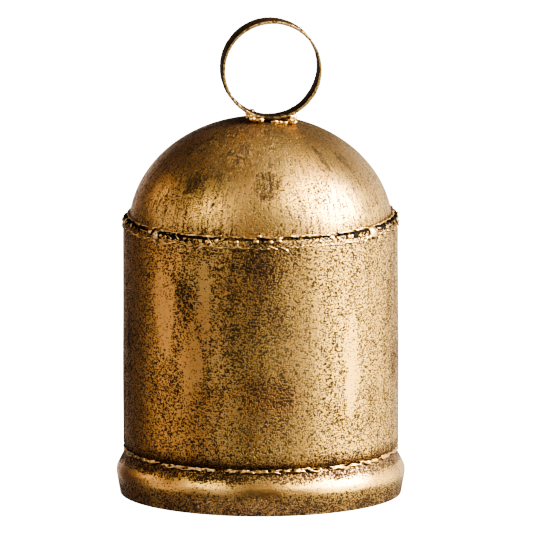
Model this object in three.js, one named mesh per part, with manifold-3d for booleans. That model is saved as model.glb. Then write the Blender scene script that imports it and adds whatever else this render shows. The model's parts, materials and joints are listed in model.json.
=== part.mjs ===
// A round-topped sheet-metal bell: a straight tube with a pressed dome welded into its top, a rounded base
// rim welded over its foot, a band ring welded on the crown, and a ball clapper hung inside on a wire link.
// Millimetres, +Z up. The origin is the centre of the circle that the bell stands on. -Y is the front.
import * as THREE from "three";
import { mergeVertices } from "three/addons/utils/BufferGeometryUtils.js";
import Module from "manifold-3d";

// ---- driving dimensions -------------------------------------------------------------------------------
const SHEET = 1.2; // gauge of every pressed or rolled sheet piece
const GAP = 0.3; // clearance between pieces that touch on the real bell
const ROUND = 48; // facets around the bell's axis

const TUBE_RADIUS = 57; // outside of the straight wall
const TUBE_TOP = 115.5;
const TUBE_TOP_RADIUS = 56; // the mouth is turned in a little to meet the dome
const TURN_IN_START = 109;
const NECK_RADIUS = 55.5; // the foot is necked to go inside the base ring
const NECK_BOTTOM = 11;
const NECK_TOP = 20.5;
const NECK_START = 26;

const DOME_RADIUS = 54.5; // the dome is half of a flattened ball with a short straight skirt
const DOME_RISE = 46.1;
const DOME_BASE = 110.8;
const DOME_SKIRT = 2.8;

const RIM_RADIUS = 59.7; // at the crest of the base ring
const RIM_HEIGHT = 19;
const RIM_CREST_RADIUS = 8.5; // of the round crest, in section
const RIM_SLOPE = THREE.MathUtils.degToRad(18); // of both flanks, from upright

const RING_RADIUS = 20.6; // outside of the band ring on the crown
const RING_WALL = 1.1;
const RING_WIDTH = 11;
const RING_AT = new THREE.Vector2(4.2, -3); // the ring is welded on by hand, off the middle
const RING_YAW = THREE.MathUtils.degToRad(7);
const RING_FACETS = 48;
const RING_WELD_OUT = 7; // from the ring's foot to the middle of each fillet

const WIRE = 1.75; // wire radius of the staple and of the clapper's rod
const STAPLE_HALF_WIDTH = 6.5;
const STAPLE_CORNER = 3;
const STAPLE_BAR = 148.5; // height of the staple's bar: the link swings about it
const STAPLE_TURN = Math.PI / 2; // the bar runs front to back, so the clapper swings side to side
const COLLAR = 1.3; // width of the weld round each leg of the staple
const LINK_RADIUS = 6.5; // to the middle of the link's wire
const LINK_WIRE = 1.4;
const EYE_RADIUS = 5; // to the middle of the rod's eye

const BALL_RADIUS = 11;
const BALL_HEIGHT = 27;
const RIVET_RADIUS = 3.2; // peened end of the rod, under the ball
const RIVET_HEIGHT = 1.6;

// ---- dimensions that follow ---------------------------------------------------------------------------
const hang = WIRE + GAP + LINK_WIRE; // between the middles of two wires that hang on each other
const linkCentre = STAPLE_BAR + hang - LINK_RADIUS;
const linkFoot = linkCentre - LINK_RADIUS; // the rod's eye swings about the link's wire here
const eyeCentre = linkFoot + hang - EYE_RADIUS;
const rimCrestHeight = RIM_HEIGHT / 2;

const ballFlat = BALL_HEIGHT - Math.sqrt(BALL_RADIUS ** 2 - (RIVET_RADIUS + 1) ** 2);

// the dome's outside and underside are both parts of a flattened ball
const ballCurve = (share) => Math.sqrt(1 - share ** 2);
const domeHeight = (r) => DOME_BASE + DOME_RISE * ballCurve(r / DOME_RADIUS);
const domeUnderside = (r) => DOME_BASE + (DOME_RISE - SHEET) * ballCurve(r / (DOME_RADIUS - SHEET));
const domeRadius = (z) => DOME_RADIUS * ballCurve((z - DOME_BASE) / DOME_RISE);
const ringFoot = domeHeight(RING_AT.length()) + GAP;

// ---- helpers ------------------------------------------------------------------------------------------
const wasm = await Module();
wasm.setup();

const v2 = (x, y) => new THREE.Vector2(x, y);

// points of an elliptical arc in a section, angles in radians from the +r direction
function arc(r, z, radiusR, radiusZ, from, to, steps) {
  return new THREE.EllipseCurve(r, z, radiusR, radiusZ, from, to, to < from).getPoints(steps);
}

// an S-shaped step in radius between two heights, without its first point
function easedStep(r0, z0, r1, z1, steps) {
  return Array.from({ length: steps }, (_, i) => {
    const t = (i + 1) / steps;
    return v2(r0 + (r1 - r0) * (1 - Math.cos(Math.PI * t)) / 2, z0 + (z1 - z0) * t);
  });
}

// a section of (r, z) points turned about +Z; a ring's section is closed here
function turned(section, facets = ROUND, closed = true) {
  const points = closed ? [...section, section[0].clone()] : section;
  return new THREE.LatheGeometry(points, facets).rotateX(Math.PI / 2);
}

function asSolid(geometry) {
  const bare = geometry.clone();
  bare.deleteAttribute("normal");
  bare.deleteAttribute("uv");
  const merged = mergeVertices(bare, 1e-4);
  return new wasm.Manifold(new wasm.Mesh({
    numProp: 3,
    vertProperties: merged.attributes.position.array,
    triVerts: new Uint32Array(merged.index.array),
  }));
}

function asGeometry(solid) {
  const mesh = solid.getMesh();
  const geometry = new THREE.BufferGeometry();
  geometry.setAttribute("position", new THREE.BufferAttribute(mesh.vertProperties, 3));
  geometry.setIndex(new THREE.BufferAttribute(mesh.triVerts, 1));
  geometry.computeVertexNormals();
  return geometry;
}

// ---- finishes -----------------------------------------------------------------------------------------
const antiqueGold = new THREE.MeshStandardMaterial({ color: 0xb98a4a, roughness: 0.42, metalness: 0.95 });
const weldMetal = new THREE.MeshStandardMaterial({ color: 0x8a6332, roughness: 0.5, metalness: 0.9 });
const darkIron = new THREE.MeshStandardMaterial({ color: 0x3c322a, roughness: 0.6, metalness: 0.85 });

const bell = new THREE.Group();

function add(name, geometry, material, group = bell) {
  const mesh = new THREE.Mesh(geometry, material);
  mesh.name = name;
  group.add(mesh);
}

// ---- the shell ----------------------------------------------------------------------------------------
function domeCap() {
  const inner = arc(0, DOME_BASE, DOME_RADIUS - SHEET, DOME_RISE - SHEET, Math.PI / 2, 0, 11);
  const outer = arc(0, DOME_BASE, DOME_RADIUS, DOME_RISE, 0, Math.PI / 2, 13);
  const skirtFoot = DOME_BASE - DOME_SKIRT;
  // the inner and outer skins both start on the axis, so the section is an open run from axis to axis
  inner[0].x = 0;
  outer.at(-1).x = 0;
  const skirt = [v2(DOME_RADIUS - SHEET, skirtFoot), v2(DOME_RADIUS, skirtFoot)];
  return turned([...inner, ...skirt, ...outer], ROUND, false);
}

function bodyTube() {
  const turnIn = TUBE_RADIUS - TUBE_TOP_RADIUS;
  const mouth = arc(TUBE_TOP_RADIUS, TURN_IN_START, turnIn, TUBE_TOP - TURN_IN_START, 0, Math.PI / 2, 4);
  const outer = [
    v2(NECK_RADIUS, NECK_BOTTOM),
    v2(NECK_RADIUS, NECK_TOP),
    ...easedStep(NECK_RADIUS, NECK_TOP, TUBE_RADIUS, NECK_START, 4),
    ...mouth,
  ];
  const inner = outer.map((p) => v2(p.x - SHEET, p.y)).reverse();
  return turned([...outer, ...inner]);
}

function baseRim() {
  const flank = (skin) => {
    const middle = v2(RIM_RADIUS - RIM_CREST_RADIUS, rimCrestHeight);
    const crest = arc(middle.x, middle.y, skin, skin, -RIM_SLOPE, RIM_SLOPE, 6);
    const lipRadius = (p) => p.x - (rimCrestHeight - Math.abs(p.y - middle.y)) * Math.tan(RIM_SLOPE);
    return [v2(lipRadius(crest[0]), 0), ...crest, v2(lipRadius(crest.at(-1)), RIM_HEIGHT)];
  };
  return turned([...flank(RIM_CREST_RADIUS), ...flank(RIM_CREST_RADIUS - SHEET).reverse()]);
}

// ---- the weld beads that hold the shell together --------------------------------------------------------
function shoulderWeld() {
  const foot = TUBE_TOP + GAP;
  const top = 119;
  const outside = arc(TUBE_TOP_RADIUS - 1.3, foot + 0.2, 2.1, top - foot - 0.2, 0, Math.PI / 2 + 0.25, 6);
  return turned([
    v2(domeRadius(foot) + GAP, foot),
    v2(TUBE_TOP_RADIUS + 0.7, foot),
    ...outside.filter((p) => p.x > domeRadius(p.y) + GAP),
    v2(domeRadius(top) + GAP, top),
  ]);
}

function rimWeld() {
  const foot = RIM_HEIGHT + GAP;
  const back = NECK_RADIUS + GAP;
  return turned([v2(back, foot), v2(back + 1.1, foot), v2(back + 0.9, foot + 0.6), v2(back, foot + 1)]);
}

// the low inside bead of the tube's upright seam, at the back
function bodySeamWeld() {
  const bead = new THREE.Shape().absellipse(0, 0, 2.2, 0.9, Math.PI, 2 * Math.PI);
  const height = TURN_IN_START - NECK_START - 4;
  const facetBack = (TUBE_RADIUS - SHEET) * Math.cos(Math.PI / ROUND) - GAP;
  return new THREE.ExtrudeGeometry(bead, { depth: height, bevelEnabled: false, curveSegments: 6 })
    .translate(0, facetBack, NECK_START + 2);
}

// ---- the ring on the crown ------------------------------------------------------------------------------
function placeOnRing(geometry) {
  return geometry.rotateZ(RING_YAW).translate(RING_AT.x, RING_AT.y, ringFoot + RING_RADIUS);
}

function hangingRing() {
  const half = RING_WIDTH / 2;
  const inside = RING_RADIUS - RING_WALL;
  const section = [v2(inside, -half), v2(RING_RADIUS, -half), v2(RING_RADIUS, half), v2(inside, half)];
  return placeOnRing(new THREE.LatheGeometry([...section, section[0].clone()], RING_FACETS));
}

// a fillet lump in the wedge between the ring and the dome; side is -1 on the left and 1 on the right
function ringWeld(side) {
  const lump = new THREE.SphereGeometry(1, 16, 10).scale(3.2, RING_WIDTH / 2 + 1, 2.4)
    .translate(side * RING_WELD_OUT, 0, 0.6 - RING_RADIUS);
  const ringClear = RING_RADIUS + GAP;
  const ringSpace = new THREE.CylinderGeometry(ringClear, ringClear, 4 * RING_WIDTH, RING_FACETS);
  const domeSpace = new THREE.SphereGeometry(1, ROUND, 32).rotateX(Math.PI / 2)
    .scale(DOME_RADIUS + GAP, DOME_RADIUS + GAP, DOME_RISE + GAP).translate(0, 0, DOME_BASE);
  const cut = asSolid(placeOnRing(lump))
    .subtract(asSolid(placeOnRing(ringSpace)))
    .subtract(asSolid(domeSpace));
  return asGeometry(cut);
}

// ---- the clapper and what it hangs on -------------------------------------------------------------------
// a U of wire: a leg up to the crown, a bar and a second leg
function clapperStaple() {
  const w = STAPLE_HALF_WIDTH;
  const straight = w - STAPLE_CORNER;
  const corner = STAPLE_BAR + STAPLE_CORNER;
  const roof = domeUnderside(w + WIRE) - 1.5 * GAP;
  const at = (x, z) => new THREE.Vector3(x, 0, z);
  const bend = (side) => [at(side * w, corner), at(side * w, STAPLE_BAR), at(side * straight, STAPLE_BAR)];
  const path = new THREE.CurvePath();
  path.add(new THREE.LineCurve3(at(-w, roof), at(-w, corner)));
  path.add(new THREE.QuadraticBezierCurve3(...bend(-1)));
  path.add(new THREE.LineCurve3(at(-straight, STAPLE_BAR), at(straight, STAPLE_BAR)));
  path.add(new THREE.QuadraticBezierCurve3(...bend(1).reverse()));
  path.add(new THREE.LineCurve3(at(w, corner), at(w, roof)));
  const wire = new THREE.Shape().absarc(0, 0, WIRE, 0, 2 * Math.PI);
  const sweep = { steps: 20, extrudePath: path, bevelEnabled: false, curveSegments: 6 };
  return new THREE.ExtrudeGeometry(wire, sweep);
}

// a collar of weld round the top of one staple leg; side is -1 or 1
function stapleWeld(side) {
  const bore = WIRE + GAP;
  const edge = bore + COLLAR;
  const roof = domeUnderside(STAPLE_HALF_WIDTH + edge) - 1.5 * GAP;
  const foot = roof - 2;
  return turned([v2(bore, roof), v2(bore, foot), v2(bore + COLLAR / 2, foot + 0.4), v2(edge, roof)], 16)
    .translate(side * STAPLE_HALF_WIDTH, 0, 0);
}

function clapperLink() {
  return new THREE.TorusGeometry(LINK_RADIUS, LINK_WIRE, 10, 32)
    .rotateY(Math.PI / 2)
    .translate(0, 0, linkCentre);
}

function clapperRod() {
  const headTop = ballFlat - GAP;
  const headFoot = headTop - RIVET_HEIGHT;
  const shankTop = eyeCentre - EYE_RADIUS;
  const head = [v2(0, headFoot), v2(RIVET_RADIUS - 1, headFoot), v2(RIVET_RADIUS, headTop)];
  const shank = [v2(WIRE, headTop), v2(WIRE, shankTop), v2(0, shankTop)];
  const eye = new THREE.TorusGeometry(EYE_RADIUS, WIRE, 10, 28)
    .rotateX(Math.PI / 2)
    .translate(0, 0, eyeCentre);
  return asGeometry(asSolid(turned([...head, ...shank], 16, false)).add(asSolid(eye)));
}

// the ball is bored for the rod and filed flat underneath, where the rivet head bears
function clapperBall() {
  const bore = WIRE + GAP;
  const flatAngle = Math.asin((ballFlat - BALL_HEIGHT) / BALL_RADIUS);
  const boreAngle = Math.acos(bore / BALL_RADIUS);
  const skin = arc(0, BALL_HEIGHT, BALL_RADIUS, BALL_RADIUS, flatAngle, boreAngle, 12);
  return turned([v2(bore, ballFlat), ...skin], 24);
}

// ---- the assembly ---------------------------------------------------------------------------------------
add("dome_cap", domeCap(), antiqueGold);
add("body_tube", bodyTube(), antiqueGold);
add("base_rim", baseRim(), antiqueGold);
add("shoulder_weld", shoulderWeld(), weldMetal);
add("rim_weld", rimWeld(), weldMetal);
add("body_seam_weld", bodySeamWeld(), weldMetal);
add("hanging_ring", hangingRing(), antiqueGold);
add("ring_weld_left", ringWeld(-1), weldMetal);
add("ring_weld_right", ringWeld(1), weldMetal);

const hanger = new THREE.Group();
hanger.rotation.z = STAPLE_TURN;
bell.add(hanger);
add("clapper_staple", clapperStaple(), darkIron, hanger);
add("staple_weld_front", stapleWeld(-1), weldMetal, hanger);
add("staple_weld_back", stapleWeld(1), weldMetal, hanger);
add("clapper_link", clapperLink(), darkIron, hanger);
add("clapper_rod", clapperRod(), darkIron, hanger);
add("clapper_ball", clapperBall(), darkIron, hanger);

export default bell;
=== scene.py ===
# %% [markdown]
# # A sheet-metal bell with an antiqued brass finish
#
# The real bell is a tube rolled from thin sheet. A pressed dome is brazed into its top, a rounded rim
# round its foot, and a ring bent from flat band stands on the crown. A ball hangs inside on a wire link.
# The CAD model already holds every size, place and joint, so this lesson takes its measures from it,
# models each piece again with the small faults of hand work, and spends most of its effort on the finish:
# gold rubbed thin over dark brown patina.

# %% Load the CAD model
import json
import math
import random

import bmesh
import bpy
from mathutils import Matrix, Vector

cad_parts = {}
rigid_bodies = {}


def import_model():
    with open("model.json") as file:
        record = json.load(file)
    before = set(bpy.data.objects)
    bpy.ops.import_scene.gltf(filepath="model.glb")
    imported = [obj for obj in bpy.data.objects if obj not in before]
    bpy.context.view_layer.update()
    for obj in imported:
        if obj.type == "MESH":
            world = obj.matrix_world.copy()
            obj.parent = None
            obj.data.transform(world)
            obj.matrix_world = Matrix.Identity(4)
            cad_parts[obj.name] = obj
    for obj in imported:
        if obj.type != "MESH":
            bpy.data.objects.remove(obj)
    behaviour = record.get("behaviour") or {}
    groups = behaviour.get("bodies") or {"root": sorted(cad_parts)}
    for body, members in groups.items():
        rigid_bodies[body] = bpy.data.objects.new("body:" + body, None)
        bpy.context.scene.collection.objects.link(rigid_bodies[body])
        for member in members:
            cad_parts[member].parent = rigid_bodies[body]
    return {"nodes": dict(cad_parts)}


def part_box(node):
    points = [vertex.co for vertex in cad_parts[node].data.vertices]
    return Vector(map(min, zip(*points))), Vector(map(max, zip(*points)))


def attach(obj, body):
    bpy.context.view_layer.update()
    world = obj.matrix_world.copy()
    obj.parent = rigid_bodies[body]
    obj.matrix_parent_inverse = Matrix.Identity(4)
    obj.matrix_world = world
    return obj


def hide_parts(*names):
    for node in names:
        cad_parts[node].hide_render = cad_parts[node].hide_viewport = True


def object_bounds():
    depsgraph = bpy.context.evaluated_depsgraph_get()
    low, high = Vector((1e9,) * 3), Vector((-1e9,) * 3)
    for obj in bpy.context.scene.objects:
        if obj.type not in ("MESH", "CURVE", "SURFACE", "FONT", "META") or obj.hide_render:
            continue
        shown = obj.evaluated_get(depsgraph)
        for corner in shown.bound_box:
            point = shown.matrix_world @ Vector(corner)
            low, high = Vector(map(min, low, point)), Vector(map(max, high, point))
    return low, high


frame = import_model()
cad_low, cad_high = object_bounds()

MM = 0.001
cad_size = [round(side / MM, 1) for side in cad_high - cad_low]
print("nodes:", len(frame["nodes"]), "in a box of", cad_size, "mm")

# %% [markdown]
# ## The camera
#
# The bell is seen from a little above, through a very long lens, so its sides stay parallel. A long lens
# eight metres away is easier to aim than an orthographic camera, and it can still be moved round the bell
# later. The lens follows from how much of the world the picture should be wide at the bell. The view
# transform plays the film: a contrasty one keeps the darks of the patina deep and orange while the
# highlights run out pale.

# %% Put the camera in its place
CAMERA_TILT = math.radians(10)
CAMERA_DISTANCE = 8.0
PICTURE_WIDTH = 220.2 * MM
AIM = Vector((2.4 * MM, 0, 94.2 * MM))

back = Vector((0, -math.cos(CAMERA_TILT), math.sin(CAMERA_TILT)))
bpy.ops.object.camera_add(location=AIM + back * CAMERA_DISTANCE, rotation=(math.pi / 2 - CAMERA_TILT, 0, 0))
camera = bpy.context.object
camera.name = "camera"
camera.data.lens = camera.data.sensor_width * CAMERA_DISTANCE / PICTURE_WIDTH
camera.data.clip_end = 60
scene = bpy.context.scene
scene.camera = camera
scene.view_settings.view_transform = "AgX"
scene.view_settings.look = "AgX - Very High Contrast"
print("lens:", round(camera.data.lens), "mm")

# %% [markdown]
# ## The floor and the surroundings
#
# Metal shows what stands round it more than it shows its own colour. The floor is a plain pale plane that
# glows softly, as a light table does, so that it runs into the white world without a horizon. It is hidden
# from reflections, because a white floor mirrored in the whole wall of the bell would wash the gold out,
# and the world is bright to the eye but dim to the metal, so that the softboxes make the bands of light.
# From below the floor is clear, like a sheet of one-way glass, so that the clapper can be looked at from
# there.

# %% Lay the floor and set the world
FLOOR_SIZE = 40
FLOOR_WHITE = 0.86
GLOW = 3.6
WORLD_SEEN = (1, 1, 1, 1)
WORLD_MIRRORED = (0.115, 0.108, 0.125, 1)

bpy.ops.mesh.primitive_plane_add(size=FLOOR_SIZE)
floor = bpy.context.object
floor.name = "floor"
floor.visible_glossy = False
floor.visible_diffuse = False
floor.visible_shadow = False

floor_paint = bpy.data.materials.new("floor_paint")
floor_paint.use_nodes = True
floor_nodes = floor_paint.node_tree.nodes
floor_links = floor_paint.node_tree.links
floor_shader = floor_nodes["Principled BSDF"]
floor_shader.inputs["Base Color"].default_value = (FLOOR_WHITE, FLOOR_WHITE, FLOOR_WHITE, 1)
floor_shader.inputs["Roughness"].default_value = 0.9
floor_shader.inputs["Specular IOR Level"].default_value = 0.1
floor_shader.inputs["Emission Color"].default_value = WORLD_SEEN
floor_shader.inputs["Emission Strength"].default_value = GLOW
one_sided = floor_nodes.new("ShaderNodeMixShader")
clear = floor_nodes.new("ShaderNodeBsdfTransparent")
face = floor_nodes.new("ShaderNodeNewGeometry")
floor_links.new(face.outputs["Backfacing"], one_sided.inputs["Fac"])
floor_links.new(floor_shader.outputs["BSDF"], one_sided.inputs[1])
floor_links.new(clear.outputs["BSDF"], one_sided.inputs[2])
floor_links.new(one_sided.outputs["Shader"], floor_nodes["Material Output"].inputs["Surface"])
floor.data.materials.append(floor_paint)

world = bpy.data.worlds.new("studio")
scene.world = world
world.use_nodes = True
sky = world.node_tree.nodes
sky_links = world.node_tree.links
sky.clear()
seen = sky.new("ShaderNodeBackground")
seen.inputs["Color"].default_value = WORLD_SEEN
seen.inputs["Strength"].default_value = GLOW + FLOOR_WHITE
mirrored = sky.new("ShaderNodeBackground")
mirrored.inputs["Color"].default_value = WORLD_MIRRORED
ray = sky.new("ShaderNodeLightPath")
either = sky.new("ShaderNodeMixShader")
sky_out = sky.new("ShaderNodeOutputWorld")
sky_links.new(ray.outputs["Is Camera Ray"], either.inputs["Fac"])
sky_links.new(mirrored.outputs["Background"], either.inputs[1])
sky_links.new(seen.outputs["Background"], either.inputs[2])
sky_links.new(either.outputs["Shader"], sky_out.inputs["Surface"])
print("floor:", FLOOR_SIZE, "m wide")

# %% [markdown]
# ## The softboxes
#
# A softbox is a glowing rectangle. Each one becomes a band on the round wall, at the place where the wall
# turns half way towards it. The largest stands to the right and makes the broad pale band, with a smaller
# and hotter one over it that flares on the dome. The left is lit much more weakly and more warmly, the
# front hardly at all, and two at the back keep the bell readable when the camera goes round it. A small
# one straight below shines up through the mouth onto the clapper.

# %% Hang the softboxes round the bell
def softbox(name, azimuth, elevation, width, height, power, colour, distance=1.2):
    """An area light that faces the bell, in degrees, metres and watts. Azimuth 90 is on the right."""
    a, e = math.radians(azimuth), math.radians(elevation)
    away = Vector((math.sin(a) * math.cos(e), -math.cos(a) * math.cos(e), math.sin(e)))
    turn = away.to_track_quat("Z", "Y").to_euler()
    bpy.ops.object.light_add(type="AREA", location=AIM + away * distance, rotation=turn)
    box = bpy.context.object
    box.name = name
    box.visible_camera = False
    box.data.shape = "RECTANGLE"
    box.data.size = width
    box.data.size_y = height
    box.data.energy = power
    box.data.color = colour
    return box


DAYLIGHT = (1.0, 0.98, 0.91)
SUNLIT = (1.0, 0.995, 0.68)
WARM = (1.0, 0.92, 0.74)
AMBER = (1.0, 0.85, 0.6)
PURE_WHITE = (1, 1, 1)
softbox("key_softbox", 74, 2, 1.2, 1.1, 14, SUNLIT)
softbox("flare_box", 80, 28, 0.46, 0.5, 18, PURE_WHITE)
softbox("high_right_box", 54, 42, 0.8, 0.7, 9.2, SUNLIT)
softbox("right_side_box", 118, -4, 0.5, 0.9, 3.0, SUNLIT)
softbox("left_strip", -80, 0, 0.95, 1.0, 2.15, WARM)
softbox("far_left_box", -110, 22, 0.4, 0.35, 0.8, AMBER)
softbox("high_left_box", -50, 33, 0.6, 0.5, 2.4, SUNLIT)
softbox("front_left_strip", -34, 4, 0.5, 1.1, 1.15, DAYLIGHT)
softbox("front_right_strip", 28, 4, 0.4, 1.1, 0.4, DAYLIGHT)
softbox("high_front_box", -4, 56, 1.0, 0.6, 0.75, DAYLIGHT)
softbox("steep_right_box", 88, 58, 0.7, 0.6, 2.3, SUNLIT)
softbox("back_right_box", 150, 0, 0.6, 0.9, 1.5, DAYLIGHT)
softbox("back_box", 195, -8, 0.6, 0.7, 1.0, DAYLIGHT)
softbox("under_box", 0, -90, 0.1, 0.1, 9, DAYLIGHT, distance=0.8)

# %% [markdown]
# ## Tools for modelling in edit mode
#
# Every operator acts on whatever is selected, and a script has no mouse. So a few small helpers come
# first: two put a piece down or take it up, one starts a fresh primitive in edit mode, one selects parts
# of a mesh by where they are, and one adds a modifier and applies it at once. The last one finishes a
# piece.

# %% Helpers for modelling
def put_down():
    """Leaves edit mode with nothing selected."""
    if bpy.context.object and bpy.context.object.mode != "OBJECT":
        bpy.ops.object.mode_set(mode="OBJECT")
    bpy.ops.object.select_all(action="DESELECT")


def take_up(piece):
    """Selects one piece alone, in object mode."""
    put_down()
    piece.select_set(True)
    bpy.context.view_layer.objects.active = piece


def start(primitive, name, **size):
    """Adds a primitive with nothing else selected and opens it in edit mode."""
    put_down()
    getattr(bpy.ops.mesh, f"primitive_{primitive}_add")(**size)
    piece = bpy.context.object
    piece.name = piece.data.name = name
    bpy.ops.object.transform_apply(location=True, rotation=True, scale=True)
    bpy.ops.object.mode_set(mode="EDIT")
    return piece


def pick(kind, test):
    """In edit mode, selects the verts, edges or faces whose points all pass a test of place."""
    bpy.ops.mesh.select_mode(type=kind)
    bpy.ops.mesh.select_all(action="DESELECT")
    shape = bmesh.from_edit_mesh(bpy.context.object.data)
    parts = {"VERT": shape.verts, "EDGE": shape.edges, "FACE": shape.faces}[kind]
    for part in parts:
        corners = [part.co] if kind == "VERT" else [corner.co for corner in part.verts]
        if all(test(corner) for corner in corners):
            part.select_set(True)
    bmesh.update_edit_mesh(bpy.context.object.data)


def modify(piece, kind, **settings):
    """Adds a modifier and applies it. The piece is left in object mode."""
    take_up(piece)
    modifier = piece.modifiers.new(kind.lower(), kind)
    for setting, value in settings.items():
        setattr(modifier, setting, value)
    bpy.ops.object.modifier_apply(modifier=modifier.name)


def unevenness(name, size, depth=0):
    """A cloudy texture for the Displace modifier: lumps of a given size, with finer ones on them."""
    clouds = bpy.data.textures.new(name, "CLOUDS")
    clouds.noise_scale = size
    clouds.noise_depth = depth
    return clouds


def roughen(piece, name, size, strength, depth=0):
    """Moves a piece's skin in and out along a cloudy texture."""
    texture = unevenness(name, size, depth)
    modify(piece, "DISPLACE", texture=texture, texture_coords="LOCAL", strength=strength)


def finish_piece(piece, body, slot, *nodes):
    """Smooths a piece, says what it rides on and which CAD nodes it replaces, and hides those. slot is not
    used.
    """
    take_up(piece)
    bpy.ops.object.shade_smooth_by_angle(angle=math.radians(50))
    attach(piece, body)
    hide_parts(*nodes)
    print(piece.name, "has", len(piece.data.polygons), "faces")


print("helpers are ready")

# %% [markdown]
# ## A wall raised ring by ring
#
# The tube, the rim and the dome are all round, and in section each is one curved line. A potter raises
# such a wall from a ring of clay, and edit mode can do the same: start with a circle, extrude its edge,
# and scale and lift each new ring to its radius and height. Solidify then gives the wall its sheet
# thickness, inwards, so the outside keeps the size that the CAD model gives.

# %% Raise a wall from a circle
ROUND = 144
SHEET = 1.2 * MM


def arc(radius, height, across, up, first, last, steps):
    """Points (radius, height) along part of an ellipse. The angles are in degrees, and 0 is outwards."""
    angles = [math.radians(first + (last - first) * step / steps) for step in range(steps + 1)]
    return [(radius + across * math.cos(angle), height + up * math.sin(angle)) for angle in angles]


def raised_wall(name, section, segments=ROUND):
    """Extrudes a circle through a list of (radius, height). The last ring is left selected."""
    radius, height = section[0]
    piece = start("circle", name, vertices=segments, radius=radius, location=(0, 0, height))
    bpy.ops.mesh.select_mode(type="EDGE")
    for next_radius, next_height in section[1:]:
        bpy.ops.mesh.extrude_region_move(TRANSFORM_OT_translate={"value": (0, 0, next_height - height)})
        share = next_radius / radius
        middle = (0, 0, next_height)
        bpy.ops.transform.resize(value=(share, share, 1), center_override=middle)
        radius, height = next_radius, next_height
    return piece


print("a wall has", ROUND, "facets round it")

# %% [markdown]
# ## The dome
#
# The dome is pressed from one disc. Its outline is a quarter of an ellipse that rises from a short
# straight skirt, which stands inside the tube. The last ring is merged into one point at the top. A press
# leaves the sheet a little uneven, which is what makes a reflection wander, so a slow cloudy displacement
# of a few tenths of a millimetre is applied after the wall has its thickness.

# %% Press the dome
DOME_SKIRT = 2.8 * MM
NEARLY_TOP = 89.2
dome_low, dome_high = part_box("dome_cap")
dome_radius = dome_high.x
dome_base = dome_low.z + DOME_SKIRT
dome_rise = dome_high.z - dome_base

dome_section = [(dome_radius, dome_low.z)] + arc(0, dome_base, dome_radius, dome_rise, 0, NEARLY_TOP, 48)
dome = raised_wall("bell_dome", dome_section)
bpy.ops.mesh.merge(type="CENTER")
bpy.ops.mesh.select_all(action="SELECT")
bpy.ops.mesh.normals_make_consistent(inside=False)
modify(dome, "SOLIDIFY", thickness=SHEET, offset=-1)
roughen(dome, "press_marks", 38 * MM, 0.5 * MM)
finish_piece(dome, "bell", "antique_gold", "dome_cap")

# %% [markdown]
# ## The tube
#
# The wall is straight for most of its height. Its foot is necked in to go inside the rim, and its mouth is
# turned in to meet the dome. The mouth was cut a little askew: it is lowest in front and on the left, so
# its rings are rotated about both level axes. In a script transform.rotate turns the other way from the
# viewport, and needs its centre given.

# %% Roll the tube
BACK_RISE = math.tan(math.radians(1.0))
RIGHT_RISE = math.tan(math.radians(0.4))
tube_low, tube_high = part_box("body_tube")
tube_radius = tube_high.x
tube_top = tube_high.z
TURN_IN = 1.0 * MM
TURN_IN_START = tube_top - 6.5 * MM
NECK = 1.2 * MM
NECK_TOP = tube_low.z + 7.5 * MM
NECK_START = NECK_TOP + 3.0 * MM
NECK_STEPS = 8


def eased(low, high, share):
    """A value part of the way from low to high that starts and ends gently."""
    return low + (high - low) * (1 - math.cos(math.pi * share)) / 2


neck_section = [
    (
        eased(tube_radius - NECK, tube_radius, step / NECK_STEPS),
        NECK_TOP + (NECK_START - NECK_TOP) * step / NECK_STEPS,
    )
    for step in range(NECK_STEPS + 1)
]
wall_heights = [NECK_START + (TURN_IN_START - NECK_START) * step / 20 for step in range(1, 20)]
mouth_section = arc(tube_radius - TURN_IN, TURN_IN_START, TURN_IN, tube_top - TURN_IN_START, 0, 90, 6)
tube_section = (
    [(tube_radius - NECK, tube_low.z)]
    + neck_section
    + [(tube_radius, height) for height in wall_heights]
    + mouth_section
)
tube = raised_wall("bell_tube", tube_section)
bpy.ops.mesh.select_all(action="SELECT")
bpy.ops.mesh.normals_make_consistent(inside=False)
pick("VERT", lambda place: place.z > TURN_IN_START - 0.1 * MM)
shoulder_middle = (0, 0, tube_top)
bpy.ops.transform.rotate(value=-math.atan(BACK_RISE), orient_axis="X", center_override=shoulder_middle)
bpy.ops.transform.rotate(value=math.atan(RIGHT_RISE), orient_axis="Y", center_override=shoulder_middle)
modify(tube, "SOLIDIFY", thickness=SHEET, offset=-1)
roughen(tube, "rolling_marks", 45 * MM, 0.6 * MM)
finish_piece(tube, "bell", "antique_gold", "body_tube")
for side, measure in (("front", lambda place: -place.y), ("right", lambda place: place.x)):
    that_side = [point.co for point in tube.data.vertices if measure(point.co) > tube_radius - 2 * MM]
    print("the mouth's", side, "edge is at", round(max(place.z for place in that_side) / MM, 1), "mm")

# %% [markdown]
# ## The rim
#
# The rim is a strip rolled to a rounded crest and bent into a hoop. Its two flanks lean in from the crest,
# the upper one more than the lower. In section it is an arc with a straight line at each end.

# %% Form the rim
_, rim_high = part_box("base_rim")
RIM_CREST = 6 * MM
RIM_MIDDLE = 9.2 * MM
TOP_GAP = 0.3 * MM
FOOT_SLOPE = 10
TOP_SLOPE = 27
rim_height = rim_high.z
crest = arc(rim_high.x - RIM_CREST, RIM_MIDDLE, RIM_CREST, RIM_CREST, -FOOT_SLOPE, TOP_SLOPE, 10)


def flank(end, height, slope):
    """Points down or up a straight flank, from one end of the crest to the edge of the strip."""
    rise = height - end[1]
    lean = abs(rise) * math.tan(math.radians(slope))
    return [(end[0] - lean * step / 5, end[1] + rise * step / 5) for step in range(1, 6)]


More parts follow.
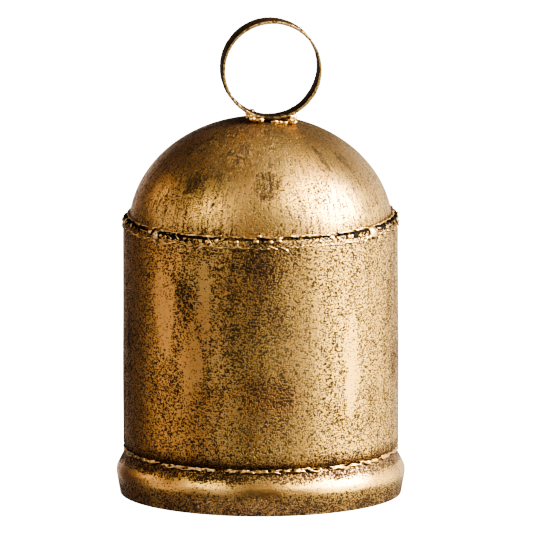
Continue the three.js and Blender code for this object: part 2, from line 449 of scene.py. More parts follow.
foot_flank = flank(crest[0], 0, FOOT_SLOPE)
top_flank = flank(crest[-1], rim_height - TOP_GAP, TOP_SLOPE)
rim = raised_wall("bell_rim", foot_flank[::-1] + crest + top_flank)
bpy.ops.mesh.select_all(action="SELECT")
bpy.ops.mesh.normals_make_consistent(inside=False)
modify(rim, "SOLIDIFY", thickness=SHEET, offset=-1)
finish_piece(rim, "bell", "antique_gold", "base_rim")

# %% [markdown]
# ## Beads of braze metal
#
# A braze bead is a row of drops that ran together, with hollows where one did not reach the next. So one
# drop is modelled, copied along the joint with a different size and turn each time, and the copies are
# joined. A voxel remesh melts them into one skin, and a fine displacement roughens it. The random numbers
# are seeded, so the bead comes out the same every time.

# %% Lay a bead of drops
def drop_mesh():
    """One drop of metal: a ball with its far side flattened, at unit size."""
    drop = start("ico_sphere", "drop", subdivisions=3, radius=1)
    pick("VERT", lambda place: place.z < -0.2)
    bpy.ops.transform.resize(value=(1, 1, 0.4))
    bpy.ops.object.mode_set(mode="OBJECT")
    return drop


def lay_bead(name, drops, voxel, roughness):
    """Melts copies of one drop. Each is a (place, outward, along, length, width, proud)."""
    master = drop_mesh()
    copies = []
    for place, outward, along, length, width, proud in drops:
        copy = master.copy()
        copy.data = master.data.copy()
        side = outward.cross(along).normalized()
        turn = Matrix((along.normalized(), side, outward.normalized())).transposed().to_4x4()
        copy.data.transform(Matrix.Translation(place) @ turn @ Matrix.Diagonal((length, width, proud, 1)))
        bpy.context.collection.objects.link(copy)
        copies.append(copy)
    bpy.data.objects.remove(master)
    bpy.ops.object.select_all(action="DESELECT")
    for copy in copies:
        copy.select_set(True)
    bead = copies[0]
    bpy.context.view_layer.objects.active = bead
    bpy.ops.object.join()
    bead.name = bead.data.name = name
    modify(bead, "REMESH", mode="VOXEL", voxel_size=voxel)
    roughen(bead, name + "_lumps", roughness * 4, roughness, depth=2)
    return bead


print("drops melt into a bead with a voxel remesh")

# %% [markdown]
# ## The shoulder bead
#
# This bead joins the dome to the tube and is the roughest thing on the bell. It follows the tube's mouth,
# so it is tilted with it. Two rows of drops lie side by side, the upper one against the dome and the lower
# one on the tube. Thin crooked drops and a few round ones cross between them, a low row under them all
# ties them together, and here and there is a fat drop where the torch stayed too long: its place in
# degrees, and its size in mm.

# %% Lay the shoulder bead
def hoop_place(turn, radius, height, askew):
    """A place on a hoop, turned from the front. askew is the share of the mouth's tilt that it has."""
    place = Vector((math.sin(turn) * radius, -math.cos(turn) * radius, height))
    place.z += (place.y * BACK_RISE + place.x * RIGHT_RISE) * askew
    return place


def hoop_drops(rows, middle, askew, seed):
    """Drops along hoops near the height middle.

    A row is the hoop's radius, its rise over the middle, the pitch of its drops, their length, width and
    height off the wall, and how far they wander up and down, all in mm. The share of drops that is missed
    comes next, and last how much the drops lean.
    """
    random.seed(seed)
    drops = []
    for *sizes, missed, lean in rows:
        radius, rise, pitch, length, width, proud, wander = (size * MM for size in sizes)
        turn = 0.0
        while turn < 2 * math.pi:
            turn += pitch * random.uniform(0.6, 1.4) / radius
            if random.random() < missed:
                continue
            size = random.uniform(0.65, 1.35)
            place = hoop_place(turn, radius, middle + rise + random.uniform(-1, 1) * wander, askew)
            outward = Vector((math.sin(turn), -math.cos(turn), 0.25))
            along = Vector((math.cos(turn), math.sin(turn), random.uniform(-1, 1) * lean))
            along -= outward * along.dot(outward) / outward.length_squared
            height = proud * random.uniform(0.7, 1.3)
            drops.append((place, outward, along, length * size, width * size, height))
    return drops


SHOULDER = 55.3
shoulder_height = tube_top - 0.7 * MM
shoulder_rows = [
    (54.4, 1.8, 2.0, 2.1, 0.42, 0.9, 0.3, 0.04, 0.3),
    (56.6, -2.3, 2.2, 1.9, 0.45, 0.75, 0.45, 0.12, 0.6),
    (56.0, -0.3, 3.0, 1.7, 0.34, 1.15, 0.8, 0.2, 1.6),
    (55.9, 0, 7.0, 1.3, 1.0, 1.2, 0.9, 0.25, 0.5),
    (SHOULDER, -0.4, 1.3, 1.6, 1.35, 1.1, 0.2, 0.0, 0.5),
]
FAT_DROP_RADIUS = 55.4 * MM
FAT_DROPS = {55: 3.2, -50: 2.7, -63: 1.7, -33: 1.9, 24: 1.6, 33: 2.1, 44: 2.0, 118: 2.3, -140: 2.4, 170: 2.0}
shoulder_drops = hoop_drops(shoulder_rows, shoulder_height, 1, seed=3)
for degrees, millimetres in FAT_DROPS.items():
    turn = math.radians(degrees)
    size = millimetres * MM
    outward = Vector((math.sin(turn), -math.cos(turn), 0.2))
    place = hoop_place(turn, FAT_DROP_RADIUS, shoulder_height - size * 0.2, 1)
    along = Vector((math.cos(turn), math.sin(turn), 0))
    shoulder_drops.append((place, outward, along, size, size, size * 0.7))
shoulder_bead = lay_bead("shoulder_bead", shoulder_drops, 0.25 * MM, 0.3 * MM)
finish_piece(shoulder_bead, "bell", "braze", "shoulder_weld")
print("drops in the shoulder bead:", len(shoulder_drops))

# %% [markdown]
# ## The neck bead
#
# The rim is held by a much thinner run of metal that shows as a torn bright line in the crease above it.
# It is the same work at a smaller size, with gaps.

# %% Lay the neck bead
neck_height = rim_height + 0.3 * MM
NECK_TILT = 0.3
neck_rows = [
    (56.1, -0.2, 1.8, 2.2, 0.42, 0.7, 0.22, 0.25, 0.25),
    (56.6, -0.9, 2.3, 2.0, 0.35, 0.6, 0.3, 0.35, 0.3),
]
neck_drops = hoop_drops(neck_rows, neck_height, NECK_TILT, seed=8)
neck_bead = lay_bead("neck_bead", neck_drops, 0.25 * MM, 0.25 * MM)
finish_piece(neck_bead, "bell", "braze", "rim_weld")

# %% [markdown]
# ## The ring on the crown
#
# The ring is a strip cut with a saw and bent round a bar, so its faces are plain and its two edges are
# rough. A short open cylinder is the band. Its rings of edges near the sawn sides are shaken a little at
# random before Solidify gives it thickness, and a bevel takes the sharpness off. The whole ring was welded
# on turned a few degrees, and the CAD model's box gives its middle.

# %% Bend the ring
RING_YAW = math.radians(7)
RING_WIDTH = 11 * MM
RING_WALL = 1.1 * MM
SAW_SHAKE = 0.16 * MM
ring_low, ring_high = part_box("hanging_ring")
ring_middle = (ring_low + ring_high) / 2
ring_radius = (ring_high.z - ring_low.z) / 2
ring = start(
    "cylinder", "crown_ring", vertices=160, radius=ring_radius, depth=RING_WIDTH, end_fill_type="NOTHING",
    location=ring_middle, rotation=(math.pi / 2, 0, RING_YAW),
)
bpy.ops.mesh.select_all(action="SELECT")
bpy.ops.mesh.subdivide(number_cuts=1)
ring_axis = Vector((-math.sin(RING_YAW), math.cos(RING_YAW), 0))
pick("VERT", lambda place: abs((place - ring_middle).dot(ring_axis)) > 0.45 * RING_WIDTH)
bpy.ops.transform.vertex_random(offset=SAW_SHAKE, seed=5)
modify(ring, "SOLIDIFY", thickness=RING_WALL, offset=-1)
modify(ring, "BEVEL", width=0.18 * MM, segments=2, limit_method="ANGLE", angle_limit=math.radians(40))
roughen(ring, "bending_marks", 14 * MM, 0.35 * MM)
finish_piece(ring, "bell", "ring_band", "hanging_ring")

# %% [markdown]
# ## The two puddles under the ring
#
# Each side of the ring's foot stands in a puddle of braze that climbs the band and runs out on the dome.
# They are two dozen drops each. The right one also ran along in front of the ring for a few millimetres.

# %% Melt the puddles
def dome_height(x, y):
    """Height of the dome's outside over a place on the plan."""
    return dome_base + dome_rise * math.sqrt(max(0, 1 - (x * x + y * y) / dome_radius**2))


PUDDLE_DROPS = 24
PUDDLE_REACH = (4.6, 9.2)
FRONT_RUN = {-1: 1, 1: 6}


def puddle(name, side, seed):
    """Drops from front to back that fill the wedge between the dome and one side of the ring's foot."""
    random.seed(seed)
    across = Vector((math.cos(RING_YAW), math.sin(RING_YAW), 0))
    drops = []
    for step in range(PUDDLE_DROPS):
        share = step / (PUDDLE_DROPS - 1) * 2 - 1
        out = side * random.uniform(*PUDDLE_REACH) * MM
        plan = ring_middle + across * out + ring_axis * share * (RING_WIDTH / 2 + 0.6 * MM)
        band_height = ring_middle.z - math.sqrt(ring_radius**2 - out**2)
        floor_height = dome_height(plan.x, plan.y)
        climb = (band_height - floor_height) * random.uniform(0.1, 1.1)
        place = Vector((plan.x, plan.y, floor_height + climb))
        outward = Vector((random.uniform(-0.4, 0.4), random.uniform(-0.4, 0.4), 1))
        along = Vector((1, 0, random.uniform(-0.3, 0.3)))
        size = random.uniform(1.3, 2.1) * MM
        drops.append((place, outward, along - outward * along.dot(outward), size, size * 0.8, size * 0.65))
    for step in range(FRONT_RUN[side]):
        plan = ring_middle + across * side * (5.0 - step) * MM - ring_axis * (RING_WIDTH / 2 + 0.7 * MM)
        place = Vector((plan.x, plan.y, dome_height(plan.x, plan.y) + 0.3 * MM))
        size = random.uniform(1.1, 1.6) * MM
        drops.append((place, Vector((0, -0.5, 1)), across, size, size * 0.7, size * 0.7))
    return lay_bead(name, drops, 0.22 * MM, 0.25 * MM)


puddle_left = puddle("ring_puddle_left", -1, 21)
finish_piece(puddle_left, "bell", "braze", "ring_weld_left")
puddle_right = puddle("ring_puddle_right", 1, 22)
finish_piece(puddle_right, "bell", "braze", "ring_weld_right")

# %% [markdown]
# ## The seam inside the tube
#
# The tube was rolled from a flat strip, so its two ends meet somewhere. No seam shows in front, so it is
# put at the back: outside it was filed flush, and inside the bead was left as it ran. It is laid like the
# others, but up a straight line.

# %% Lay the seam bead
seam_low, seam_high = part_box("body_seam_weld")
random.seed(31)
seam_drops = []
SEAM_END = 1.5 * MM
seam_at = seam_low.z + SEAM_END
while seam_at < seam_high.z - SEAM_END:
    seam_place = Vector((random.uniform(-0.3, 0.3) * MM, seam_high.y, seam_at))
    seam_width = random.uniform(1.2, 1.9) * MM
    seam_drops.append((seam_place, Vector((0, -1, 0)), Vector((0, 0, 1)), 1.6 * MM, seam_width, 0.75 * MM))
    seam_at += random.uniform(1.2, 2.0) * MM
seam_bead = lay_bead("seam_bead", seam_drops, 0.3 * MM, 0.15 * MM)
finish_piece(seam_bead, "bell", "braze", "body_seam_weld")

# %% [markdown]
# ## The staple, the link and the rod
#
# The clapper hangs on a staple, a link and a rod, all of wire. A bent wire is a circle pulled along its
# path: extruded straight, and spun round a centre where it bends.
#
# One fault is known and left in. Both bends are spun the wrong way, so the staple arches up where it
# should hang down like a U, its bar sits too high, and the link meets it from below instead of hanging
# round it. A spin of minus 90 degrees at each bend would put it right. The height that is printed shows
# it: it should be the same as in the CAD model.

# %% Bend the staple
WIRE = 1.75 * MM
staple_low, staple_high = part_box("clapper_staple")
staple_bend = 3 * MM
staple_leg = staple_high.y - WIRE
staple_bar = staple_low.z + WIRE


def pull(length, direction, cuts=1):
    """Extrudes the selected ring straight on."""
    step = Vector(direction) * (length / cuts)
    for _ in range(cuts):
        bpy.ops.mesh.extrude_region_move(TRANSFORM_OT_translate={"value": step})


def spin_on(degrees, centre, axis, steps=8):
    """Spins the selected ring round a centre, as a former bends a wire."""
    bpy.ops.mesh.spin(steps=steps, angle=math.radians(degrees), center=centre, axis=axis)


def close_wire(piece):
    """Caps a pulled wire's open ends and turns its faces outwards."""
    bpy.ops.mesh.select_all(action="SELECT")
    bpy.ops.mesh.remove_doubles(threshold=0.01 * MM)
    bpy.ops.mesh.select_mode(type="EDGE")
    bpy.ops.mesh.select_all(action="DESELECT")
    bpy.ops.mesh.select_non_manifold(extend=False)
    bpy.ops.mesh.edge_face_add()
    bpy.ops.mesh.select_all(action="SELECT")
    bpy.ops.mesh.normals_make_consistent(inside=False)
    bpy.ops.object.mode_set(mode="OBJECT")


staple_foot = (0, -staple_leg, staple_high.z)
staple = start("circle", "hanging_staple", vertices=24, radius=WIRE, location=staple_foot)
pull(staple_high.z - staple_bar - staple_bend, (0, 0, -1))
spin_on(90, (0, -staple_leg + staple_bend, staple_bar + staple_bend), (1, 0, 0))
pull(2 * (staple_leg - staple_bend), (0, 1, 0))
spin_on(90, (0, staple_leg - staple_bend, staple_bar + staple_bend), (1, 0, 0))
pull(staple_high.z - staple_bar - staple_bend, (0, 0, 1))
close_wire(staple)
staple_height = staple.dimensions.z
finish_piece(staple, "bell", "clapper_iron", "clapper_staple")
print("the staple is", round(staple_height / MM, 1), "mm high")
print("in the CAD model it is", round((staple_high.z - staple_low.z) / MM, 1), "mm high")

# %% [markdown]
# Each leg of the staple is held to the dome by a collar, a ring of drops melted together like the beads.

# %% Lay the staple's two collars of braze
COLLAR_DROPS = 11
for end, side in (("front", -1), ("back", 1)):
    collar_low, collar_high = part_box(f"staple_weld_{end}")
    collar_middle = (collar_low + collar_high) / 2
    collar_radius = (collar_high.x - collar_low.x) / 2
    random.seed(40 + side)
    collar_drops = []
    for count in range(COLLAR_DROPS):
        turn = 2 * math.pi * count / COLLAR_DROPS
        outward = Vector((math.cos(turn), math.sin(turn), -0.9))
        along = Vector((-math.sin(turn), math.cos(turn), 0))
        place = collar_middle + Vector((math.cos(turn), math.sin(turn), 0.2)) * (collar_radius - 0.9 * MM)
        size = random.uniform(0.8, 1.15) * MM
        collar_drops.append((place, outward, along, size, size, size * 0.8))
    collar = lay_bead(f"staple_collar_{end}", collar_drops, 0.2 * MM, 0.15 * MM)
    finish_piece(collar, "bell", "braze", f"staple_weld_{end}")

# %% [markdown]
# The link is a torus, which is what a closed ring of wire is. Its place and its sizes come from the CAD
# model.

# %% Close the link
link_low, link_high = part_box("clapper_link")
link_middle = (link_low + link_high) / 2
link_wire = (link_high.y - link_low.y) / 2
link = start(
    "torus", "wire_link", major_radius=(link_high.z - link_low.z) / 2 - link_wire, minor_radius=link_wire,
    major_segments=56, minor_segments=20, location=link_middle, rotation=(math.pi / 2, 0, 0),
)
roughen(link, "forge_marks", 3 * MM, 0.12 * MM)
finish_piece(link, "link", "clapper_iron", "clapper_link")

# %% [markdown]
# ## The rod and the ball
#
# The rod is one wire: its top is bent round into an eye, and its foot is hammered over under the ball into
# a rivet head. The ball is a turned iron ball with a flat filed underneath for the head, so a bisect cuts
# it there and fills the cut.

# %% Forge the rod and turn the ball
rod_low, rod_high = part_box("clapper_rod")
ball_low, ball_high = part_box("clapper_ball")
eye_outside = (rod_high.y - rod_low.y) / 2
eye_middle = rod_high.z - eye_outside
eye_radius = eye_outside - WIRE
head_radius = (rod_high.x - rod_low.x) / 2

radius_now, height_now = head_radius * 0.7, rod_low.z
rod = start("circle", "clapper_shank", vertices=20, radius=radius_now, location=(0, 0, height_now))
rivet_section = [(head_radius * 0.92, 0.35), (head_radius, 0.9), (head_radius * 0.8, 1.45), (WIRE, 1.6)]
for radius, above in rivet_section:
    pull(rod_low.z + above * MM - height_now, (0, 0, 1))
    share = radius / radius_now
    bpy.ops.transform.resize(value=(share, share, 1), center_override=(0, 0, 0))
    radius_now, height_now = radius, rod_low.z + above * MM
pull(eye_middle - eye_radius - height_now, (0, 0, 1), cuts=12)
close_wire(rod)
eye = start(
    "torus", "eye", major_radius=eye_radius, minor_radius=WIRE, major_segments=48, minor_segments=20,
    location=(0, 0, eye_middle), rotation=(0, math.pi / 2, 0),
)
bpy.ops.object.mode_set(mode="OBJECT")
modify(rod, "BOOLEAN", object=eye, operation="UNION", solver="EXACT")
bpy.data.objects.remove(eye)
finish_piece(rod, "clapper", "clapper_iron", "clapper_rod")

ball_radius = (ball_high.x - ball_low.x) / 2
flat_radius = head_radius + 1 * MM
ball_middle = (0, 0, ball_low.z + math.sqrt(ball_radius**2 - flat_radius**2))
ball = start(
    "uv_sphere", "clapper_ball_turned", segments=64, ring_count=32, radius=ball_radius, location=ball_middle,
)
bpy.ops.mesh.select_all(action="SELECT")
bpy.ops.mesh.bisect(plane_co=(0, 0, ball_low.z), plane_no=(0, 0, 1), use_fill=True, clear_inner=True)
modify(ball, "BEVEL", width=0.3 * MM, segments=2, limit_method="ANGLE", angle_limit=math.radians(40))
roughen(ball, "casting_marks", 5 * MM, 0.25 * MM, depth=1)
finish_piece(ball, "clapper", "clapper_iron", "clapper_ball")

# %% [markdown]
# ## Writing shader sums
#
# The finishes are built from masks: where the patina is thick, where the gold is rubbed smooth, where the
# braze has hollows. A mask is a sum on numbers that the surface gives, so one small class wraps a socket
# and lets the sums be written as Python. Any node that isn't a sum comes from its one method node.

# %% A wire that can be added and multiplied
class Wire:
    """An output socket of a shader tree."""

    def __init__(self, tree, socket):
        self.tree = tree
        self.socket = socket

    def node(self, kind, settings, sockets, out=0):
        """Adds a node: first its settings, then the values or wires of its sockets."""
        made = self.tree.nodes.new("ShaderNode" + kind)
        for name, value in settings.items():
            setattr(made, name, value)
        for name, value in sockets.items():
            if isinstance(value, Wire):
                self.tree.links.new(value.socket, made.inputs[name])
            else:
                made.inputs[name].default_value = value
        return Wire(self.tree, made.outputs[out]) if made.outputs else None

    def sum(self, operation, first, second=0.0):
        """One Math node. Its operands are wires or numbers."""
        return self.node("Math", {"operation": operation}, {0: first, 1: second})

    def __add__(self, other):
        return self.sum("ADD", self, other)

    def __sub__(self, other):
        return self.sum("SUBTRACT", self, other)

    def __rsub__(self, other):
        return self.sum("SUBTRACT", other, self)

    def __mul__(self, other):
        return self.sum("MULTIPLY", self, other)

    __radd__ = __add__
    __rmul__ = __mul__


def ramp(value, low, high):
    """0 below low, 1 above high and smooth between. It falls instead where low is the larger."""
    ends = {"Value": value, "From Min": low, "From Max": high}
    return value.node("MapRange", {"interpolation_type": "SMOOTHSTEP"}, ends)


def mixed(mask, first, second):
    """One colour where the mask is 0 and another where it is 1."""
    return mask.node("Mix", {"data_type": "RGBA"}, {0: mask, 6: first, 7: second}, out=2)


def stretched(place, x, y, z):
    """A place with its axes stretched, so that a pattern read there is squeezed by as much."""
    return place.node("VectorMath", {"operation": "MULTIPLY"}, {0: place, 1: (x, y, z)})


def cloudy(place, size, detail=2.0, roughness=0.5, distortion=0.0):
    """Soft noise from 0 to 1, with lumps of about the given size."""
    look = {
        "Vector": place, "Scale": 1 / size, "Detail": detail, "Roughness": roughness, "Distortion": distortion,
    }
    return place.node("TexNoise", {}, look)


def parts(place):
    """The x, y and z of a place."""
    return [place.node("SeparateXYZ", {}, {"Vector": place}, out=axis) for axis in range(3)]


def turn_from_front(x, y):
    """How far a place is turned from the front towards the right, in radians."""
    return x.sum("ARCTAN2", x, 0 - y)


def length_of(across, up):
    """The length of the slanting side over two square ones."""
    return across.sum("SQRT", across * across + up * up)


print("shader sums are ready")

# %% [markdown]
# ## A finish of gold rubbed over patina
#
# The sheet was darkened all over, then gold was rubbed on, and a dry brush dragged it up and across. Gold
# stays on the high grain and misses the pits, so near to it is a fine dark speckle that runs in short
# strokes both ways, like cloth. Three masks drive everything: cover says how much patina is left between
# the grains, the brown film is a thin brown glaze over the gold, which bright flecks show through, and in a
# few places it is painted shade, and the last says how orange the gold is, partly as a random change of
# tone and partly as a painted warm light on the left side. The same speckle lowers the metal's shine and
# dents it a little, so the light breaks up on it.

# %% The gold over patina shader
PALE_GOLD = (0.74, 0.468, 0.20, 1)
WARM_GOLD = (0.70, 0.385, 0.160, 1)
# The brown film's colour: a real brown glaze, and painted shade where the tube's neck and far left and the
# rim's lower flank use it.
BROWN_FILM = (0.22, 0.115, 0.065, 1)
PATINA = (0.042, 0.027, 0.020, 1)


def new_finish(name):
    """A new material and the wire that gives each point's place."""
    paint = bpy.data.materials.new(name)
    paint.use_nodes = True
    paint.node_tree.nodes.clear()
    spot = paint.node_tree.nodes.new("ShaderNodeTexCoord")
    return paint, Wire(paint.node_tree, spot.outputs["Object"])


def shade(place, colour, roughness, metallic, height, depth, shine=0.5):
    """Ends a material: a Principled shader with a Bump of a given depth. shine is for what isn't metal."""
    bump = place.node("Bump", {}, {"Strength": 1.0, "Distance": depth, "Height": height})
    sockets = {
        "Base Color": colour, "Roughness": roughness, "Metallic": metallic, "Specular IOR Level": shine,
        "Normal": bump,
    }
    shader = place.node("BsdfPrincipled", {}, sockets)
    place.node("OutputMaterial", {}, {"Surface": shader})


def gold_over_patina(place, grain, cover, brown_film, orange_tone_and_painted_warm_light, dullness=0.31):
    """The shared finish. grain is the speckle, from 0 to 1, and cover is the share of it that stays dark."""
    speck = ramp(grain + cover, 0.90, 1.06)
    brush_up = cloudy(stretched(place, 1, 1, 0.06), 0.5 * MM, 1)
    brush_across = cloudy(stretched(place, 0.06, 0.06, 1), 0.5 * MM, 1)
    gold = mixed(orange_tone_and_painted_warm_light, PALE_GOLD, WARM_GOLD)
    fleck = ramp(cloudy(place, 0.45 * MM, 1, distortion=0.8), 0.58, 0.68)
    film = mixed(brown_film * (1 - fleck), gold, BROWN_FILM)
    colour = mixed(speck * 0.93, film, PATINA)
    roughness = dullness + brown_film * 0.14 + speck * 0.22 + brush_up * 0.08
    metallic = 1.0 - speck * 0.6
    height = brush_up * 0.3 + brush_across * 0.3 - speck * 0.8 + cloudy(place, 4 * MM) * 1.5
    height = height - grain * (brown_film * 2.2 + 0.5)
    shade(place, colour, roughness, metallic, height, 0.05 * MM, shine=0.2)


def cloth_grain(place):
    """Speckle in short strokes, up and across."""
    dots = cloudy(place, 0.63 * MM, 1, distortion=0.8)
    across = cloudy(stretched(place, 0.4, 0.4, 1.3), 0.63 * MM, 1)
    upright = cloudy(stretched(place, 1.3, 1.3, 0.4), 0.63 * MM, 1)
    return ramp(dots * 0.5 + across * 0.30 + upright * 0.20, 0.38, 0.62)


print("gold, glaze and patina are mixed")

# %% [markdown]
# ## The tube's finish
#
# The rubbing wasn't even. A few places on the wall were rubbed until they were smooth, others were left
# dark, and the patina gathers under the bead where no rag reaches. Each such place is an oval on the wall,
# with an edge that noise breaks up: how far it is turned from the front in degrees, then how high it is,
# half its width and half its height in mm. The neck gets a little more speckle, which is patina, and a
# thick brown film, which is painted shade for the dark that the hollow of the neck reflects. The far left
# gets one more film of brown, which is painted shade for the tube's dark side.

# %% Finish the tube
def oval(turn, height, degrees, middle, half_width, half_height, edge):
    """1 inside an oval on the wall and 0 outside, with a soft edge that edge pushes about."""
    across = (turn - math.radians(degrees)) * (tube_radius / half_width)
    up = (height - middle) * (1 / half_height)
    return ramp(across * across + up * up + edge, 1.5, 0.3)


RUBBED = [
    (-45, 84, 6, 17),
    (-31, 63, 6, 15),
    (-24, 88, 2.6, 22),
    (41, 60, 4, 22),
    (100, 60, 9, 25),
    (-110, 75, 8, 22),
    (160, 66, 7, 24),
]
UNRUBBED = [
    (-34, 93, 6, 15),
    (-2, 84, 15, 34),
    (4, 108, 18, 9),
    (3, 46, 12, 17),
    (75, 80, 9, 38),
    (135, 80, 12, 26),
    (-80, 62, 12, 36),
    (-150, 52, 12, 26),
]


def all_ovals(turn, height, ovals, edge):
    """The sum of several ovals, each given in degrees from the front and in mm."""
    return sum(oval(turn, height, degrees, *(size * MM for size in sizes), edge) for degrees, *sizes in ovals)


tube_gold, place = new_finish("tube_gold")
x, y, height = parts(place)
turn = turn_from_front(x, y)
edge = (cloudy(stretched(place, 1, 1, 0.3), 5 * MM, 3) - 0.5) * 2.6
rubbed = all_ovals(turn, height, RUBBED, edge)
unrubbed = all_ovals(turn, height, UNRUBBED, edge)
mouth_line = tube_top + y * BACK_RISE + x * RIGHT_RISE
uneven = cloudy(place, 16 * MM, 3) - 0.5
by_the_bead = ramp(mouth_line - height, 9 * MM, 0.0)
# In the neck: a little more patina, and a brown film that is painted shade of the hollow neck.
neck_patina_and_painted_shade = ramp(height + uneven * (6 * MM), 27 * MM, 19 * MM)
streaks = cloudy(stretched(place, 1, 1, 0.12), 6 * MM, 3) - 0.5
cover = 0.42 + uneven * 0.32 + streaks * 0.4 + unrubbed * 0.10 - rubbed * 0.38
cover = cover + by_the_bead * 0.14 + neck_patina_and_painted_shade * 0.1
brown_film = ramp(uneven + streaks + unrubbed * 0.25 + neck_patina_and_painted_shade * 0.8 - rubbed * 0.3, 0.02, 0.75) * 0.8
# Painted shade: the far left side gets an extra brown film to darken it.
painted_left_side_shade = ramp(0 - turn, 1.05, 1.3) * ramp(0 - turn, 2.2, 1.8)
brown_film = brown_film + painted_left_side_shade * 0.4
# More orange towards the left: partly a random change of tone, partly a painted warm light on that side.
orange_tone_and_painted_warm_light = ramp(cloudy(place, 30 * MM, 2) - turn * 0.25, 0.35, 0.75)
gold_over_patina(place, cloth_grain(place), cover, brown_film, orange_tone_and_painted_warm_light)
tube.data.materials.append(tube_gold)
print("the tube has", len(tube_gold.node_tree.nodes), "nodes in its finish")

# %% [markdown]
# ## The dome's finish
#
# On the dome the brush ran down from the crown, so the strokes fan out along its ribs. For a pattern that
# follows them, the place is divided by its distance from the axis and lengthened down the slope. The crown
# is brown from handling the ring, further down on the left, and below it are a few dark smudges. They are
# ovals like the tube's, but with their distance from the axis in place of the height.

# %% Finish the dome
dome_gold, place = new_finish("dome_gold")
x, y, height = parts(place)
turn = turn_from_front(x, y)
from_axis = length_of(x, y)
fan = from_axis.sum("MAXIMUM", from_axis, 6 * MM)
ribs = place.node("CombineXYZ", {}, {
    "X": x.sum("DIVIDE", x, fan) * (40 * MM), "Y": y.sum("DIVIDE", y, fan) * (40 * MM), "Z": from_axis * 0.25,
})
SMUDGES = [
    (-36, 46, 6, 3.5),
    (-26, 41, 6, 4.5),
    (-14, 33, 7, 6),
    (3, 45, 6.5, 4.5),
    (28, 25, 1.7, 7),
    (42, 37, 1.6, 7),
    (58, 39, 3, 4),
    (-52, 32, 9, 6),
    (110, 34, 8, 12),
    (-130, 30, 10, 14),
    (170, 38, 8, 11),
]
edge = (cloudy(place, 5 * MM, 4) - 0.5) * 4.0
smudged = all_ovals(turn, from_axis, SMUDGES, edge)
crown_edge = (cloudy(ribs, 5 * MM, 3) - 0.5) * (18 * MM)
crown = ramp(from_axis + x * 0.3 + crown_edge, 31 * MM, 5 * MM)
by_the_bead = ramp(height - (tube_top + y * BACK_RISE + x * RIGHT_RISE), 7 * MM, 1.5 * MM)
uneven = cloudy(place, 14 * MM, 4) - 0.5
strokes = cloudy(ribs, 2.4 * MM, 3) - 0.5
dots = cloudy(place, 0.60 * MM, 1, distortion=1.2)
grain = ramp(dots * 0.72 + cloudy(ribs, 0.8 * MM, 1, distortion=0.6) * 0.28, 0.36, 0.64)
cover = 0.27 + uneven * 0.45 + strokes * 0.42 + smudged * 0.42 + crown * 0.26 + by_the_bead * 0.2
brown_film = ramp(uneven * 0.8 + strokes * 0.4 + crown * 0.6 + smudged * 0.3, -0.05, 0.95)
# More orange towards the left: partly a random change of tone and the brown crown, partly a painted warm light
# on that side.
orange_tone_and_painted_warm_light = ramp(cloudy(place, 26 * MM, 2) - turn * 0.22 + crown * 0.35, 0.35, 0.85)
gold_over_patina(place, grain, cover, brown_film, orange_tone_and_painted_warm_light, dullness=0.27)
dome.data.materials.append(dome_gold)
print("the dome has", len(dome_gold.node_tree.nodes), "nodes in its finish")

# %% [markdown]
# ## The rim's finish
#
# The rim's crest is rubbed bright by every shelf it has stood on, and its two flanks keep the dark
# speckle. The lower flank and the crease above are darkest. On the lower flank that is partly patina and
# partly a brown film painted as shade, because that flank faces down.

# %% Finish the rim
rim_gold, place = new_finish("rim_gold")
x, y, height = parts(place)
turn = turn_from_front(x, y)
uneven = cloudy(place, 11 * MM, 4) - 0.5
wavy = height + uneven * (3 * MM)
on_the_crest = ramp(wavy, 7 * MM, 10 * MM) * ramp(wavy, 13.7 * MM, 12.9 * MM)
in_the_crease = ramp(wavy, 13.3 * MM, 15.5 * MM)
# The lower flank: more patina, and a brown film that is painted shade where the flank faces down.
low_flank_patina_and_painted_shade = ramp(wavy, 9 * MM, 3 * MM)
cover = 0.42 + uneven * 0.5 - on_the_crest * 0.36 + in_the_crease * 0.22 + low_flank_patina_and_painted_shade * 0.16
brown_film = ramp(uneven + low_flank_patina_and_painted_shade * 0.6 + in_the_crease * 0.55 - on_the_crest * 0.4, -0.1, 0.9)
# More orange towards the left: partly a random change of tone, partly a painted warm light on that side.
orange_tone_and_painted_warm_light = ramp(cloudy(place, 26 * MM, 2) - turn * 0.14, 0.35, 0.75)
gold_over_patina(place, cloth_grain(place), cover, brown_film, orange_tone_and_painted_warm_light, dullness=0.25)
rim.data.materials.append(rim_gold)
print("the rim has", len(rim_gold.node_tree.nodes), "nodes in its finish")

# %% [markdown]
# ## Braze, the dark band and iron
#
# Braze catches gold on its high spots, and its hollows stay black. On the hoops the height of a point is
# how far it stands off the flat oval that the bead's lowest row of drops makes in section. The puddles and
# the collars lie every way, so there the pointiness that Cycles finds for each vertex does the same work.

# %% Finish the beads
BRAZE_GOLD = (0.78, 0.60, 0.35, 1)
BRAZE_BLACK = (0.018, 0.011, 0.007, 1)


def braze(name, height_of):
    """Gold on the high spots and black in the hollows. height_of gives 0 in a hollow and 1 on top."""
    paint, place = new_finish(name)
    rough = cloudy(place, 0.7 * MM, 3)
    heat = cloudy(place, 7 * MM, 2)
    top = ramp(height_of(place) + (rough - 0.5) * 0.7 + (heat - 0.5) * 0.9, 0.25, 0.75)
    tint = mixed(cloudy(place, 5 * MM), BRAZE_GOLD, WARM_GOLD)
    colour = mixed(top, BRAZE_BLACK, tint)
    shade(place, colour, 0.62 - top * 0.34, 0.6 + top * 0.4, rough, 0.12 * MM)
    return paint


def hoop_height(radius, height, askew, proud, half_width):
    """Makes the height function of a bead: how far a point stands off the flat oval of the bead's own base."""

    def height_of(place):
        x, y, z = parts(place)
        out = (length_of(x, y) - radius) * (1 / proud)
        up = (z - height - (y * BACK_RISE + x * RIGHT_RISE) * askew) * (1 / half_width)
        return ramp(length_of(out, up), 1.12, 1.42)

    return height_of


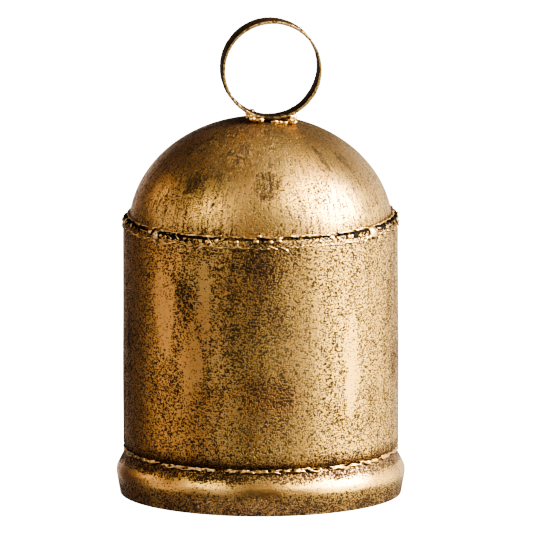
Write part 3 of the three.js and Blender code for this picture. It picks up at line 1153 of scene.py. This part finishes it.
def pointed(place):
    """Height from the bend of the surface at each vertex."""
    return ramp(place.node("NewGeometry", {}, {}, out="Pointiness"), 0.43, 0.52)


shoulder_line = hoop_height(SHOULDER * MM, shoulder_height - 0.4 * MM, 1, 1.2 * MM, 1.55 * MM)
neck_line = hoop_height(55.9 * MM, neck_height, NECK_TILT, 0.45 * MM, 0.6 * MM)
shoulder_bead.data.materials.append(braze("shoulder_braze", shoulder_line))
neck_bead.data.materials.append(braze("neck_braze", neck_line))
puddle_braze = braze("puddle_braze", pointed)
loose_braze = [puddle_left, puddle_right, seam_bead]
loose_braze += [thing for thing in bpy.data.objects if thing.name.startswith("staple_collar")]
for piece in loose_braze:
    piece.data.materials.append(puddle_braze)
print("pieces of braze:", len(loose_braze) + 2)

# %% [markdown]
# The band keeps almost all of its patina. Its sawn edges were rubbed bright and its faces only scuffed.
# The edges are found as the points that lie furthest from the band's middle along its own axis.

# %% Finish the ring
BAND_BROWN = (0.058, 0.029, 0.014, 1)
band_brown, place = new_finish("band_brown")
x, y, height = parts(place)
along_band = (x - ring_middle.x) * ring_axis.x + (y - ring_middle.y) * ring_axis.y
from_middle = along_band.sum("ABSOLUTE", along_band)
scuffs = cloudy(place, 2.6 * MM, 6, roughness=0.7)
half_band = RING_WIDTH / 2
sawn = ramp(from_middle + (scuffs - 0.5) * (0.5 * MM), half_band - 0.52 * MM, half_band - 0.2 * MM)
worn = ramp(scuffs + from_middle * (0.12 / RING_WIDTH), 0.55, 0.85) * 0.35
gold = mixed(cloudy(place, 3 * MM), BRAZE_GOLD, PALE_GOLD)
clear_of_the_foot = ramp(height + scuffs * (1 * MM), ring_low.z + 1.2 * MM, ring_low.z + 2.4 * MM)
bright = sawn * (ramp(cloudy(place, 1.3 * MM, 3), 0.36, 0.56) * 0.8 + 0.1) * clear_of_the_foot
colour = mixed(bright.sum("MAXIMUM", bright, worn), BAND_BROWN, gold)
shade(place, colour, 0.62 - bright * 0.26, bright, scuffs, 0.08 * MM, shine=0.15)
ring.data.materials.append(band_brown)
print("the ring has", len(band_brown.node_tree.nodes), "nodes in its finish")

# %% [markdown]
# The staple, the link, the rod and the ball are iron, dark from oil, with a little rust where that wore
# off.

# %% Finish the iron of the clapper
IRON_DARK = (0.035, 0.030, 0.026, 1)
IRON_PALE = (0.09, 0.082, 0.075, 1)
IRON_RUST = (0.10, 0.045, 0.022, 1)
clapper_iron, place = new_finish("clapper_iron")
scale = cloudy(place, 1.6 * MM, 5)
rust = ramp(cloudy(place, 5 * MM, 4), 0.52, 0.70)
colour = mixed(rust, mixed(scale, IRON_DARK, IRON_PALE), IRON_RUST)
shade(place, colour, 0.45 + rust * 0.3 + scale * 0.1, 0.9 - rust * 0.7, scale, 0.1 * MM)
for piece in (staple, link, rod, ball):
    piece.data.materials.append(clapper_iron)
print("pieces of iron: 4")

# %% [markdown]
# ## The end
#
# Blender must not change the size of the object. The CAD model's box is printed at the start; the last
# cell only brings the view layer up to date.

# %% Bring the view layer up to date
bpy.context.view_layer.update()
